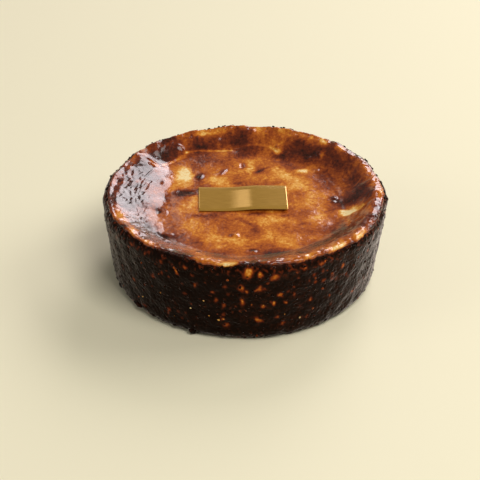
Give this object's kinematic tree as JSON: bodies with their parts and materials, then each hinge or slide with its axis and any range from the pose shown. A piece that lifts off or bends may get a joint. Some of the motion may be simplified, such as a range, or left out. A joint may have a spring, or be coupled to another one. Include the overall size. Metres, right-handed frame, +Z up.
{
  "type": "basque cheesecake",
  "caption": "Whole round burnt-top cheesecake with a sunken top, a dark crumbly side and a bare gold card label lying on it.",
  "frame": {"origin": "centre of the bounding box at the level of the flat base", "axes": "+Z up, out of the sunken top; +X to the right of the picture, along the label; +Y away from the camera"},
  "size_m": [0.2008, 0.2004, 0.0663],
  "materials": {
    "baked_cheesecake": "baked brown and black, glossy in the sunken top and crumbly on the side",
    "gold_foil_card": "satin gold foil"
  },
  "bodies": {
    "root": {"cheesecake": "baked_cheesecake", "gold_label": "gold_foil_card"}
  },
  "joints": []
}
